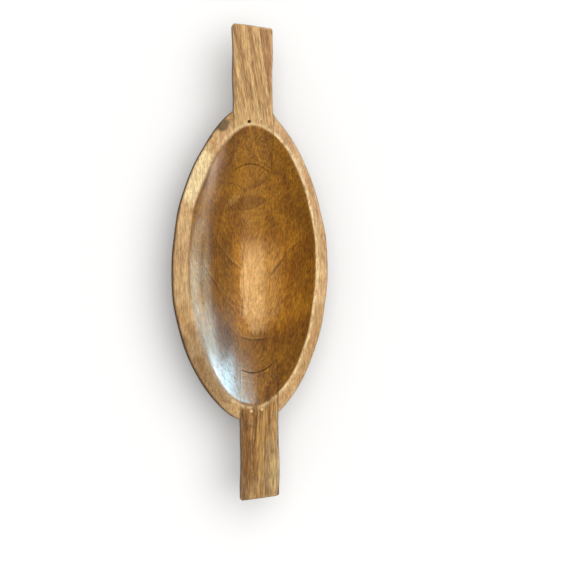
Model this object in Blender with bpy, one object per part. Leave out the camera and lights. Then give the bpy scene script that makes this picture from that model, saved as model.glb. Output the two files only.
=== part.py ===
"""A carved wooden nut bowl: a boat-shaped body with a board handle let into each end and pegged there.

Units are metres and +Z is up. The origin is the middle of the flat foot that the bowl stands on, and +Y runs
along the bowl towards the back handle.
"""

import math
from dataclasses import dataclass

import bmesh
import bpy
from mathutils import Matrix

# Bowl body, outside. A reach runs from the widest line to a tip. Fullness shapes an oval: 0.5 is an
# ellipse and 1 is a pointed pair of parabolas.
RIM_HEIGHT = 0.0445
BOWL_WIDTH = 0.132
WIDEST_Y = -0.004
BACK_REACH = 0.144
FRONT_REACH = 0.130
BACK_FULLNESS = 0.69
FRONT_FULLNESS = 0.615
FOOT_WIDTH = 0.064
FOOT_LENGTH = 0.160
HULL_FULLNESS = 2.4
RIM_FALL = 0.003
RIM_ROUND = 0.004

# Bowl body, hollow. The rims are what is left around it, and its depth grows from the edge inwards as
# 1 - level ** HOLLOW_FLATNESS.
LEFT_RIM = 0.0134
RIGHT_RIM = 0.0106
BACK_RIM = 0.022
FRONT_RIM = 0.016
FLOOR_THICKNESS = 0.0135
HOLLOW_FULLNESS = 0.535
HOLLOW_FLATNESS = 1.9

# Handles, sawn from one board. A length runs from the bowl's tip to the handle's end, on its middle line.
# A slant is how much longer the left flank is than the right one.
HANDLE_THICKNESS = 0.013
HANDLE_EDGE = 0.0016
HANDLE_ROOT_EDGE = 0.0003
BACK_HANDLE_X = 0.0024
BACK_HANDLE_END_X = 0.0014
BACK_HANDLE_WIDTH = 0.0328
BACK_HANDLE_END_WIDTH = 0.0338
BACK_HANDLE_LENGTH = 0.0617
BACK_HANDLE_SLANT = 0.0038
FRONT_HANDLE_X = 0.0077
FRONT_HANDLE_END_X = 0.0083
FRONT_HANDLE_WIDTH = 0.0315
FRONT_HANDLE_END_WIDTH = 0.0326
FRONT_HANDLE_LENGTH = 0.0603
FRONT_HANDLE_SLANT = 0.0042

# Pegs, driven down through the handles' roots. A setback is a peg's distance from the hollow's edge, its
# shift is its place across the handle, and a sunk peg stands below the face.
PEG_DIAMETER = 0.0024
PEG_BITE = 0.006
BACK_LEFT_PEG_SHIFT = -0.0038
BACK_LEFT_PEG_SETBACK = 0.0028
BACK_LEFT_PEG_SUNK = 0.0020
BACK_RIGHT_PEG_SHIFT = 0.0059
BACK_RIGHT_PEG_SETBACK = 0.0064
FRONT_LEFT_PEG_SHIFT = -0.0070
FRONT_RIGHT_PEG_SHIFT = 0.0019
FRONT_PEG_SETBACK = 0.0036

# The glue line around every piece that is let into another one.
FIT_GAP = 0.0003

# Sizes that follow from the ones above.
BACK_TIP = BACK_REACH + WIDEST_Y
FRONT_TIP = FRONT_REACH - WIDEST_Y
HOLLOW_HALF_WIDTH = (BOWL_WIDTH - LEFT_RIM - RIGHT_RIM) / 2
HOLLOW_HALF_LENGTH = (BACK_TIP - BACK_RIM + FRONT_TIP - FRONT_RIM) / 2
HOLLOW_X = (LEFT_RIM - RIGHT_RIM) / 2
HOLLOW_Y = (BACK_TIP - BACK_RIM - FRONT_TIP + FRONT_RIM) / 2
HOLLOW_DEPTH = RIM_HEIGHT - FLOOR_THICKNESS

# How finely the curves are cut into facets, and how far cutters run past what they cut.
SEGMENTS = 96
HULL_STEPS = 8
ROUND_STEPS = 4
HOLLOW_LEVELS = (0.985, 0.95, 0.88, 0.80, 0.72, 0.63, 0.53, 0.42, 0.30, 0.18, 0.07)
PEG_SIDES = 20
EDGE_STEPS = 3
OVERCUT = 0.008
CUTTER_LEVELS = (1.015, 1.10)
SHARP_ANGLE = math.radians(24)

# Finishes: colour, roughness.
BOWL_WOOD = ((0.47, 0.26, 0.085), 0.38)
BACK_HANDLE_WOOD = ((0.51, 0.30, 0.13), 0.50)
FRONT_HANDLE_WOOD = ((0.40, 0.22, 0.075), 0.50)
PEG_WOOD = ((0.66, 0.44, 0.22), 0.60)


@dataclass
class Handle:
    """One end's board. Its side is +1 at the back and -1 at the front, and its tip is the bowl's."""

    name: str
    side: int
    tip: float
    x: float
    end_x: float
    width: float
    end_width: float
    length: float
    slant: float
    wood: tuple


BACK_HANDLE = Handle(
    "back_handle", 1, BACK_TIP, BACK_HANDLE_X, BACK_HANDLE_END_X, BACK_HANDLE_WIDTH,
    BACK_HANDLE_END_WIDTH, BACK_HANDLE_LENGTH, BACK_HANDLE_SLANT, BACK_HANDLE_WOOD,
)
FRONT_HANDLE = Handle(
    "front_handle", -1, FRONT_TIP, FRONT_HANDLE_X, FRONT_HANDLE_END_X, FRONT_HANDLE_WIDTH,
    FRONT_HANDLE_END_WIDTH, FRONT_HANDLE_LENGTH, FRONT_HANDLE_SLANT, FRONT_HANDLE_WOOD,
)


@dataclass
class Peg:
    """A round peg that pins a handle's root to the body under it."""

    name: str
    handle: Handle
    shift: float
    setback: float
    sunk: float


PEGS = (
    Peg("back_peg_left", BACK_HANDLE, BACK_LEFT_PEG_SHIFT, BACK_LEFT_PEG_SETBACK, BACK_LEFT_PEG_SUNK),
    Peg("back_peg_right", BACK_HANDLE, BACK_RIGHT_PEG_SHIFT, BACK_RIGHT_PEG_SETBACK, 0.0),
    Peg("front_peg_left", FRONT_HANDLE, FRONT_LEFT_PEG_SHIFT, FRONT_PEG_SETBACK, 0.0),
    Peg("front_peg_right", FRONT_HANDLE, FRONT_RIGHT_PEG_SHIFT, FRONT_PEG_SETBACK, 0.0),
)


def clear_scene():
    for obj in list(bpy.data.objects):
        bpy.data.objects.remove(obj, do_unlink=True)


def make_collection(name):
    collection = bpy.data.collections.new(name)
    bpy.context.scene.collection.children.link(collection)
    return collection


def make_wood(name, finish):
    colour, roughness = finish
    material = bpy.data.materials.new(name)
    material.use_nodes = True
    shader = material.node_tree.nodes["Principled BSDF"]
    shader.inputs["Base Color"].default_value = (*colour, 1.0)
    shader.inputs["Roughness"].default_value = roughness
    shader.inputs["Metallic"].default_value = 0.0
    return material


def add_object(name, work, collection, material=None):
    """An object that owns the finished bmesh, shaded smooth across its gentle edges."""
    bmesh.ops.recalc_face_normals(work, faces=work.faces)
    mesh = bpy.data.meshes.new(name)
    work.to_mesh(mesh)
    work.free()
    mesh.shade_smooth()
    mesh.set_sharp_from_angle(angle=SHARP_ANGLE)
    obj = bpy.data.objects.new(name, mesh)
    collection.objects.link(obj)
    if material:
        mesh.materials.append(material)
    return obj


def add_cutter(name, work, collection):
    cutter = add_object(name, work, collection)
    cutter.hide_render = True
    cutter.display_type = "WIRE"
    return cutter


def cut(obj, cutters):
    for cutter in cutters:
        boolean = obj.modifiers.new("cut " + cutter.name, "BOOLEAN")
        boolean.operation = "DIFFERENCE"
        boolean.solver = "EXACT"
        boolean.object = cutter


def signed_power(value, exponent):
    return math.copysign(abs(value) ** exponent, value)


def ring(point_at):
    """One loop of points: point_at gives the point for each angle round the bowl."""
    return [point_at(2 * math.pi * i / SEGMENTS) for i in range(SEGMENTS)]


def rim_point(angle, inset):
    """A plan point on the bowl's outer outline, drawn in by an inset."""
    back = math.sin(angle) >= 0
    reach, fullness = (BACK_REACH, BACK_FULLNESS) if back else (FRONT_REACH, FRONT_FULLNESS)
    x = (BOWL_WIDTH / 2 - inset) * signed_power(math.cos(angle), 2 * fullness)
    return x, WIDEST_Y + (reach - inset) * math.sin(angle)


def foot_point(angle):
    return FOOT_WIDTH / 2 * math.cos(angle), FOOT_LENGTH / 2 * math.sin(angle)


def hollow_point(angle, level):
    """A point of the hollow's surface: level 1 is its edge at the rim, and level 0 its deepest point."""
    x = HOLLOW_X + HOLLOW_HALF_WIDTH * signed_power(level * math.cos(angle), 2 * HOLLOW_FULLNESS)
    y = HOLLOW_Y + HOLLOW_HALF_LENGTH * level * math.sin(angle)
    return x, y, RIM_HEIGHT - HOLLOW_DEPTH * (1 - level**HOLLOW_FLATNESS)


def hollow_reach(x, depth, side):
    """How far the hollow reaches from the origin, along Y on one side, that deep below the rim at this X."""
    level = (1 - depth / HOLLOW_DEPTH) ** (1 / HOLLOW_FLATNESS)
    across = (abs(x - HOLLOW_X) / HOLLOW_HALF_WIDTH) ** (1 / HOLLOW_FULLNESS)
    return side * HOLLOW_Y + HOLLOW_HALF_LENGTH * math.sqrt(level**2 - across)


def hull_ring(height, hull_top):
    """The outer wall at a height: the rim's outline at the hull's top, the foot's at height 0."""
    drawn_in = (1 - height / hull_top) ** HULL_FULLNESS

    def point(angle):
        rim, foot = rim_point(angle, 0.0), foot_point(angle)
        return (*(r + (f - r) * drawn_in for r, f in zip(rim, foot)), height)

    return ring(point)


def round_ring(turn, hull_top):
    """The rounded outer edge of the rim, from the wall at turn 0 to the rim's top at a quarter turn."""
    inset = RIM_ROUND * (1 - math.cos(turn))
    height = hull_top + RIM_ROUND * math.sin(turn)
    return ring(lambda angle: (*rim_point(angle, inset), height))


def loft(rings):
    """A closed skin over rings of equally many points, with a flat face on the first and the last."""
    work = bmesh.new()
    loops = [[work.verts.new(point) for point in points] for points in rings]
    count = len(loops[0])
    for lower, upper in zip(loops, loops[1:]):
        for i in range(count):
            j = (i + 1) % count
            work.faces.new((lower[i], lower[j], upper[j], upper[i]))
    work.faces.new(loops[0])
    work.faces.new(loops[-1])
    return work


def hollow_rings(levels):
    return [ring(lambda angle, level=level: hollow_point(angle, level)) for level in levels]


def body_shape():
    """The carved body: up the outer wall from the foot, over the rim and down into the hollow."""
    hull_top = RIM_HEIGHT - RIM_FALL - RIM_ROUND
    wall = [hull_ring(hull_top * i / HULL_STEPS, hull_top) for i in range(HULL_STEPS)]
    edge = [round_ring(math.pi / 2 * i / ROUND_STEPS, hull_top) for i in range(ROUND_STEPS + 1)]
    return loft(wall + edge + hollow_rings((1.0, *HOLLOW_LEVELS)))


def hollow_shape():
    """The hollow as a solid that runs on past the rim, which trims a handle's root to the carved surface."""
    return loft(hollow_rings((*reversed(HOLLOW_LEVELS), *CUTTER_LEVELS)))


def root_start(handle):
    """Where a handle's root starts along Y, inside the hollow, so that the hollow trims all of its end."""
    flanks = (handle.x - handle.width / 2, handle.x + handle.width / 2)
    return min(hollow_reach(x, HANDLE_THICKNESS, handle.side) for x in flanks) - OVERCUT


def root_end(handle):
    """Where a handle's flanks leave the bowl's outline along Y."""
    back = handle.side > 0
    reach, fullness = (BACK_REACH, BACK_FULLNESS) if back else (FRONT_REACH, FRONT_FULLNESS)
    across = (handle.width / 2 / (BOWL_WIDTH / 2)) ** (1 / fullness)
    return handle.tip - reach * (1 - math.sqrt(1 - across))


def prism(points, bottom, top):
    """A flat outline, raised from the bottom height to the top one."""
    work = bmesh.new()
    face = work.faces.new([work.verts.new((x, y, bottom)) for x, y in points])
    raised = bmesh.ops.extrude_face_region(work, geom=[face])["geom"]
    corners = [item for item in raised if isinstance(item, bmesh.types.BMVert)]
    bmesh.ops.translate(work, verts=corners, vec=(0, 0, top - bottom))
    bmesh.ops.recalc_face_normals(work, faces=work.faces)
    return work


def board_section(handle, along, edge, inset=0.0):
    """A board's outline across its length, with rounded corners, at a distance from the origin.

    Past the bowl its width runs evenly to the end's, its middle to the end's, and it turns into the slant.
    """
    leave, end = root_end(handle), handle.tip + handle.length
    share = max(0.0, (along - leave) / (end - leave))
    middle = handle.x + (handle.end_x - handle.x) * share
    half = (handle.width + (handle.end_width - handle.width) * share) / 2 - inset
    tall = HANDLE_THICKNESS / 2 - inset
    points = []
    for corner in range(4):
        for step in range(EDGE_STEPS + 1):
            turn = math.pi / 2 * (corner + step / EDGE_STEPS)
            x = math.copysign(half - edge, math.cos(math.pi / 2 * (corner + 0.5))) + edge * math.cos(turn)
            z = math.copysign(tall - edge, math.sin(math.pi / 2 * (corner + 0.5))) + edge * math.sin(turn)
            y = handle.side * (along - handle.slant * share * x / handle.width)
            points.append((middle + x, y, RIM_HEIGHT - HANDLE_THICKNESS / 2 + z))
    return points


def handle_shape(handle):
    """The handle's board: crisp where it is let in, with eased edges and a slight flare beyond the bowl."""
    leave, end = root_end(handle), handle.tip + handle.length
    sections = [
        board_section(handle, root_start(handle), HANDLE_ROOT_EDGE),
        board_section(handle, leave, HANDLE_ROOT_EDGE),
        board_section(handle, handle.tip, HANDLE_EDGE),
    ]
    for step in range(EDGE_STEPS + 1):
        turn = math.pi / 3 * step / EDGE_STEPS
        inset = HANDLE_EDGE * (1 - math.cos(turn))
        along = end - HANDLE_EDGE * (math.sin(math.pi / 3) - math.sin(turn))
        sections.append(board_section(handle, along, HANDLE_EDGE - inset, inset))
    return loft(sections)


def housing_shape(handle):
    """The open slot in the body that takes a handle's root, with the glue line all round it."""
    half = handle.width / 2 + FIT_GAP
    start, end = root_start(handle), handle.tip + OVERCUT
    outline = [
        (handle.x - half, handle.side * start),
        (handle.x + half, handle.side * start),
        (handle.x + half, handle.side * end),
        (handle.x - half, handle.side * end),
    ]
    return prism(outline, RIM_HEIGHT - HANDLE_THICKNESS - FIT_GAP, RIM_HEIGHT + OVERCUT)


def upright(x, y, radius, bottom, top):
    """A round bar standing between two heights."""
    work = bmesh.new()
    place = Matrix.Translation((x, y, (bottom + top) / 2))
    bmesh.ops.create_cone(
        work, cap_ends=True, segments=PEG_SIDES, radius1=radius, radius2=radius, depth=top - bottom,
        matrix=place,
    )
    return work


def peg_place(peg):
    """A peg's plan point, set back from the hollow's edge by its own distance."""
    x = peg.handle.x + peg.shift
    return x, peg.handle.side * (hollow_reach(x, 0.0, peg.handle.side) + peg.setback)


def peg_bottom():
    return RIM_HEIGHT - HANDLE_THICKNESS - PEG_BITE


def peg_shape(peg):
    return upright(*peg_place(peg), PEG_DIAMETER / 2, peg_bottom(), RIM_HEIGHT - peg.sunk)


def peg_hole_shape(peg):
    radius = PEG_DIAMETER / 2 + FIT_GAP
    return upright(*peg_place(peg), radius, peg_bottom() - FIT_GAP, RIM_HEIGHT + OVERCUT)


def main():
    clear_scene()
    parts = make_collection("nut_bowl")
    cutters = make_collection("cutters")
    hollow = add_cutter("hollow_cutter", hollow_shape(), cutters)
    holes = {
        peg.name: add_cutter(peg.name + "_hole", peg_hole_shape(peg), cutters) for peg in PEGS
    }
    body = add_object("bowl_body", body_shape(), parts, make_wood("bowl_wood", BOWL_WOOD))
    for handle in (BACK_HANDLE, FRONT_HANDLE):
        wood = make_wood(handle.name + "_wood", handle.wood)
        board = add_object(handle.name, handle_shape(handle), parts, wood)
        housing = add_cutter(handle.name + "_housing", housing_shape(handle), cutters)
        own_holes = [holes[peg.name] for peg in PEGS if peg.handle is handle]
        cut(board, [hollow, *own_holes])
        cut(body, [housing, *own_holes])
    peg_wood = make_wood("peg_wood", PEG_WOOD)
    for peg in PEGS:
        add_object(peg.name, peg_shape(peg), parts, peg_wood)


main()
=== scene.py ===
"""Dresses a carved wooden nut bowl: its boat-shaped body, the board handle let into each end, and their pegs.

Units are metres and +Z is up. The origin is the middle of the foot, and +Y runs to the back handle.
"""

import math

import bmesh
import bpy
import numpy as np
from mathutils import Matrix, Vector


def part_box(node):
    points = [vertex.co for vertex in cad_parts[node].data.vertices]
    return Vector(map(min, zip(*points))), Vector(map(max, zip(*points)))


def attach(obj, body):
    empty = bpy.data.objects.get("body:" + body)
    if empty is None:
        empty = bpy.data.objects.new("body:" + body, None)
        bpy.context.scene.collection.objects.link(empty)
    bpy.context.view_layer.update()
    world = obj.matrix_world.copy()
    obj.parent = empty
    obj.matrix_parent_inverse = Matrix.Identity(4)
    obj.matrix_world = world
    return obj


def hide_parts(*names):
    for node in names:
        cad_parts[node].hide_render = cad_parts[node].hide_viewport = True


bl_info = {
    "name": "Carved Nut Bowl",
    "version": (1, 0, 0),
    "blender": (4, 5, 0),
    "location": "3D View > Sidebar > Nut Bowl",
    "description": "Builds a carved nut bowl with a board handle let into each end",
    "category": "Add Mesh",
}

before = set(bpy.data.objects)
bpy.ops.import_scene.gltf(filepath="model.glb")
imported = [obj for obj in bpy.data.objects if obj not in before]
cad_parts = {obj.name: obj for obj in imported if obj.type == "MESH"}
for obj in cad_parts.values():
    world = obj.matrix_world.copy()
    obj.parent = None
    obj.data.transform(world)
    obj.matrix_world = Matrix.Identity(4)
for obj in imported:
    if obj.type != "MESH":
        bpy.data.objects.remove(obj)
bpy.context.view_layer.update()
RIM_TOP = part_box("bowl_body")[1].z
HANDLE_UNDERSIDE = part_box("back_handle")[0].z

# How finely the surfaces are cut: columns round the bowl, then rings on each stretch of its section.
BODY_COLUMNS = 600
FOOT_RINGS = 6
FOOT_EDGE_RINGS = 5
HULL_RINGS = 30
ROUND_RINGS = 10
RIM_RINGS = 6
CREST_RINGS = 20
HOLLOW_RINGS = 62

# Points round a handle's section, and sections along it.
FACE_POINTS = 44
FLANK_POINTS = 18
CORNER_POINTS = 7
ROOT_SECTIONS = 46
BOARD_SECTIONS = 110
END_ROUND_SECTIONS = 7
END_FACE_SECTIONS = 8

PEG_COLUMNS = 40
PEG_SIDE_RINGS = 6
PEG_CROWN_RINGS = 8
HOUSING_POINTS = 61

# How much rings crowd low on the hull, and sections at both ends of a root and where a board leaves it.
HULL_CROWDING = 1.3
ROOT_CROWDING = 0.65
BOARD_CROWDING = 1.35

# How far the tools that cut the housings and the holes reach past the wood.
HOUSING_OVERSHOOT = 0.008
HOLE_OVERSHOOT = 0.01

# How softly a handle's face runs into the hollow, and how far the floor reaches.
FACE_EASE = 0.0022
FLOOR_REACH = 60.0

# Bands in which something changes over, from a start to an end. The two of the left edge go by -cos of the
# angle round the bowl, the growth of a handle's edge by a share of its length, and the others are in metres.
LEFT_EDGE_BAND = (-0.3, 0.8)
FLANK_EDGE_BAND = (0.60, 0.95)
EDGE_GROWTH_BAND = (0.0, 0.18)
HAND_HEIGHT_BAND = (0.001, 0.012)
LEAN_RIM_BAND = (0.001, 0.010)
LEAN_HEIGHT_BAND = (0.004, 0.026)
LEAN_FRONT_BAND = (0.075, 0.125)
THROAT_RIM_BAND = (0.004, 0.012)
THROAT_HEIGHT_BAND = (0.010, 0.029)
LEFT_SIDE_BAND = (0.0, 0.03)
HOLLOW_SKIN_BAND = (-0.0045, -0.0030)
PAINTED_SHEEN_FRONT_BAND = (0.016, 0.070)
PAINTED_SHEEN_BACK_BAND = (0.046, 0.080)

# How far the rim's pale wood runs into the hollow's left at the front and back, as a painted sheen.
PAINTED_SHEEN_FRONT = 0.0073
PAINTED_SHEEN_BACK = 0.0030

# Points closer than this are one, and edges bent more than this are sharp.
WELD = 1e-7
SHARP_ANGLE = math.radians(38)


def length(name, description, default):
    return bpy.props.FloatProperty(
        name=name, description=description, default=default, unit="LENGTH", precision=4
    )


def number(name, description, default):
    return bpy.props.FloatProperty(name=name, description=description, default=default, precision=3)


def colour(name, description, default):
    return bpy.props.FloatVectorProperty(
        name=name, description=description, default=default, subtype="COLOR", size=3, min=0, max=1
    )


class BodySettings(bpy.types.PropertyGroup):
    """Sizes of the carved body. A fullness of 0.5 makes an oval an ellipse, and 1 points its ends."""

    rim_height: length("Rim height", "Crest of the rim above the foot", RIM_TOP)
    width: length("Width", "Across the bowl at its widest", 0.132)
    widest_y: length("Widest line", "Where along the bowl it is widest", -0.004)
    back_reach: length("Back reach", "From the widest line to the back tip", 0.144)
    front_reach: length("Front reach", "From the widest line to the front tip", 0.130)
    back_fullness: number("Back fullness", "Shape of the outline's back half", 0.69)
    front_fullness: number("Front fullness", "Shape of the outline's front half", 0.615)
    foot_width: length("Foot width", "Across the flat foot", 0.064)
    foot_length: length("Foot length", "Along the flat foot", 0.160)
    foot_edge: length("Foot edge", "How far the foot's edge is eased", 0.0016)
    hull_fullness: number("Hull fullness", "How full the outside stays towards the foot", 2.4)
    rim_fall: length("Rim fall", "How far the rim drops from its crest to its outer edge", 0.003)
    rim_round: length("Rim round", "Radius of the rim's outer edge", 0.004)
    crest_round: length("Crest round", "How far the hollow's edge is rounded on the right", 0.0014)
    left_crest_out: length("Left crest, outwards", "How far the left edge is rounded over the rim", 0.0024)
    left_crest_in: length("Left crest, inwards", "How far the left edge is rounded into the hollow", 0.0058)
    flank_crest_in: length("Flank crest, inwards", "The same in the middle of the left side", 0.0160)
    flank_crest_shift: length("Flank crest, shift", "How far the middle of the left edge is cut back", 0.0010)
    left_rim: length("Left rim", "Wood left of the hollow", 0.0134)
    right_rim: length("Right rim", "Wood right of the hollow", 0.0106)
    back_rim: length("Back rim", "Wood behind the hollow", 0.022)
    front_rim: length("Front rim", "Wood in front of the hollow", 0.016)
    floor: length("Floor", "Wood under the deepest point", 0.0135)
    hollow_fullness: number("Hollow fullness", "Shape of the hollow's outline", 0.535)
    hollow_flatness: number("Hollow flatness", "How flat the hollow's floor is", 1.9)
    front_lean: length("Front lean", "How far the front of the rim leans to the right", 0.0022)
    hand: length("Hand", "How far the carving wanders from the true shape", 0.00026)


class BoardSettings:
    """Sizes that both handles share."""

    thickness: length("Thickness", "The board's thickness", RIM_TOP - HANDLE_UNDERSIDE)
    edge: length("Edge", "Radius of the free edges", 0.0020)
    root_edge: length("Root edge", "Radius of the edges that are let in", 0.00012)
    glue_line: length("Glue line", "Gap left round the root in its housing", 0.00008)
    left_edge: length("Left edge", "Radius of the left upper edge", 0.0009)
    throat_width: length("Throat width", "How quickly the right throat dies away from its flank", 0.0024)
    left_throat_width: length(
        "Left throat width", "How quickly the left throat dies away from its flank", 0.0060
    )
    root_lip: length("Root lip", "Least thickness of the root's end", 0.0008)
    root_bow: number("Root bow", "How much the root's end is bowed across the hollow, per metre", 28.0)


class BackHandleSettings(BoardSettings, bpy.types.PropertyGroup):
    """Sizes of the handle at the back."""

    x: length("Root place", "Middle of the root, across the bowl", 0.0024)
    end_x: length("End place", "Middle of the end, across the bowl", 0.0014)
    width: length("Root width", "Across the root", 0.0328)
    end_width: length("End width", "Across the end", 0.0338)
    reach: length("Reach", "From the bowl's tip to the handle's end", 0.0617)
    slant: length("Slant", "How much longer the left flank is than the right one", 0.0038)
    left_throat: length("Left throat", "How far the rim sweeps out along the left flank", -0.0016)
    right_throat: length("Right throat", "How far the rim sweeps out along the right flank", 0.0026)
    root_x: length("Root end place", "Middle of the bowed root end, across the bowl", 0.0015)
    root_y: length("Root end", "How far the root's end is from the bowl's middle", 0.0866)
    right_edge: length("Right edge", "Radius of the right upper edge", 0.0020)


class FrontHandleSettings(BoardSettings, bpy.types.PropertyGroup):
    """Sizes of the handle at the front."""

    x: length("Root place", "Middle of the root, across the bowl", 0.0077)
    end_x: length("End place", "Middle of the end, across the bowl", 0.0083)
    width: length("Root width", "Across the root", 0.0315)
    end_width: length("End width", "Across the end", 0.0326)
    reach: length("Reach", "From the bowl's tip to the handle's end", 0.0603)
    slant: length("Slant", "How much longer the left flank is than the right one", 0.0042)
    left_throat: length("Left throat", "How far the rim sweeps out along the left flank", -0.0018)
    right_throat: length("Right throat", "How far the rim sweeps out along the right flank", 0.0008)
    root_x: length("Root end place", "Middle of the bowed root end, across the bowl", 0.0032)
    root_y: length("Root end", "How far the root's end is from the bowl's middle", 0.0898)
    right_edge: length("Right edge", "Radius of the right upper edge", 0.0030)


class WoodSettings(bpy.types.PropertyGroup):
    """Colours of the woods."""

    rim_pale: colour("Rim, pale", "Lightest wood of the rim", (0.67, 0.438, 0.206))
    rim_tan: colour("Rim, tan", "Darker wood of the rim", (0.45, 0.242, 0.086))
    rim_blush: colour("Rim, blush", "Reddish patches of the rim", (0.60, 0.33, 0.17))
    rim_worn: colour("Rim, worn", "Bare wood along worn edges", (0.87, 0.67, 0.36))
    # Darker places on the rim's left: the lower left, along the left edge and beside the back handle's flank.
    rim_stain: colour("Rim, stain", "Handled and smudged places", (0.17, 0.11, 0.055))
    # The outside's darkness is partly painted shade on the bowl's sides and the handles' flanks.
    outside: colour("Outside", "Oiled wood of the hull", (0.085, 0.042, 0.015))
    hollow_gold: colour("Hollow, gold", "Light layers of the oiled hollow", (0.46, 0.190, 0.006))
    hollow_brown: colour("Hollow, brown", "Dark layers of the oiled hollow", (0.245, 0.084, 0.002))
    # Also paints the pool of light on the hollow's floor, together with its wear.
    floor_tan: colour("Floor, tan", "Wood worn pale on the hollow's floor", (0.72, 0.41, 0.14))
    line_umber: colour("Layer line", "Thin dark lines between growth layers", (0.075, 0.028, 0.006))
    back_pale: colour("Back handle, pale", "Light streaks", (0.66, 0.42, 0.175))
    back_tan: colour("Back handle, tan", "Dark streaks", (0.31, 0.155, 0.05))
    back_red: colour("Back handle, red", "Heartwood along one edge", (0.36, 0.155, 0.065))
    front_pale: colour("Front handle, pale", "Light streaks", (0.56, 0.31, 0.092))
    front_tan: colour("Front handle, tan", "Dark streaks", (0.165, 0.066, 0.013))
    front_red: colour("Front handle, red", "Heartwood along one edge", (0.20, 0.082, 0.022))
    front_worn: colour("Front handle, worn", "Rubbed pale patch", (0.62, 0.45, 0.18))
    # Its strip along the front handle's right edge is a painted sheen where that edge catches the light.
    front_grey: colour("Front handle, grey", "Weathered end and right edge", (0.36, 0.27, 0.15))
    peg: colour("Pegs", "End grain of the pegs", (0.74, 0.54, 0.28))
    # Also paints the shade on top of the sunk peg, down its hole.
    grime: colour("Grime", "What has settled in the joints", (0.045, 0.020, 0.006))


class StageSettings(bpy.types.PropertyGroup):
    """The floor, the lamps and the camera."""

    floor: colour("Floor", "The floor's colour", (0.90, 0.90, 0.90))
    sky: number("Sky", "Strength of the backdrop overhead", 0.12)
    horizon: number("Horizon", "Strength of the backdrop low down", 0.08)
    dome: number("Dome", "Strength of the even light from all sides", 1.5)
    daylight: number("Daylight", "Strength of the broad soft light above", 1.88)
    windows: number("Windows", "Strength of the row of windows that the oiled wood mirrors", 1.38)
    eye: bpy.props.FloatVectorProperty(
        name="Eye", description="Where the camera stands", default=(-0.160, -0.050, 1.40),
        subtype="TRANSLATION", size=3,
    )
    target: bpy.props.FloatVectorProperty(
        name="Target", description="What the camera looks at", default=(0.0330, -0.0202, 0.0445),
        subtype="TRANSLATION", size=3,
    )
    view_width: length("View width", "What the picture takes in, at the target", 0.4863)


def signed_power(value, exponent):
    return np.sign(value) * np.abs(value) ** exponent


def smooth_step(value, low, high):
    """0 below low, 1 above high, and 3t^2 - 2t^3 between them."""
    t = np.clip((value - low) / (high - low), 0, 1)
    return t * t * (3 - 2 * t)


def soft_min(a, b, reach):
    """The lesser of a and b, rounded by a parabola where they are within reach of each other."""
    share = np.clip(0.5 + 0.5 * (b - a) / reach, 0, 1)
    return b + (a - b) * share - reach * share * (1 - share) / 2


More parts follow.
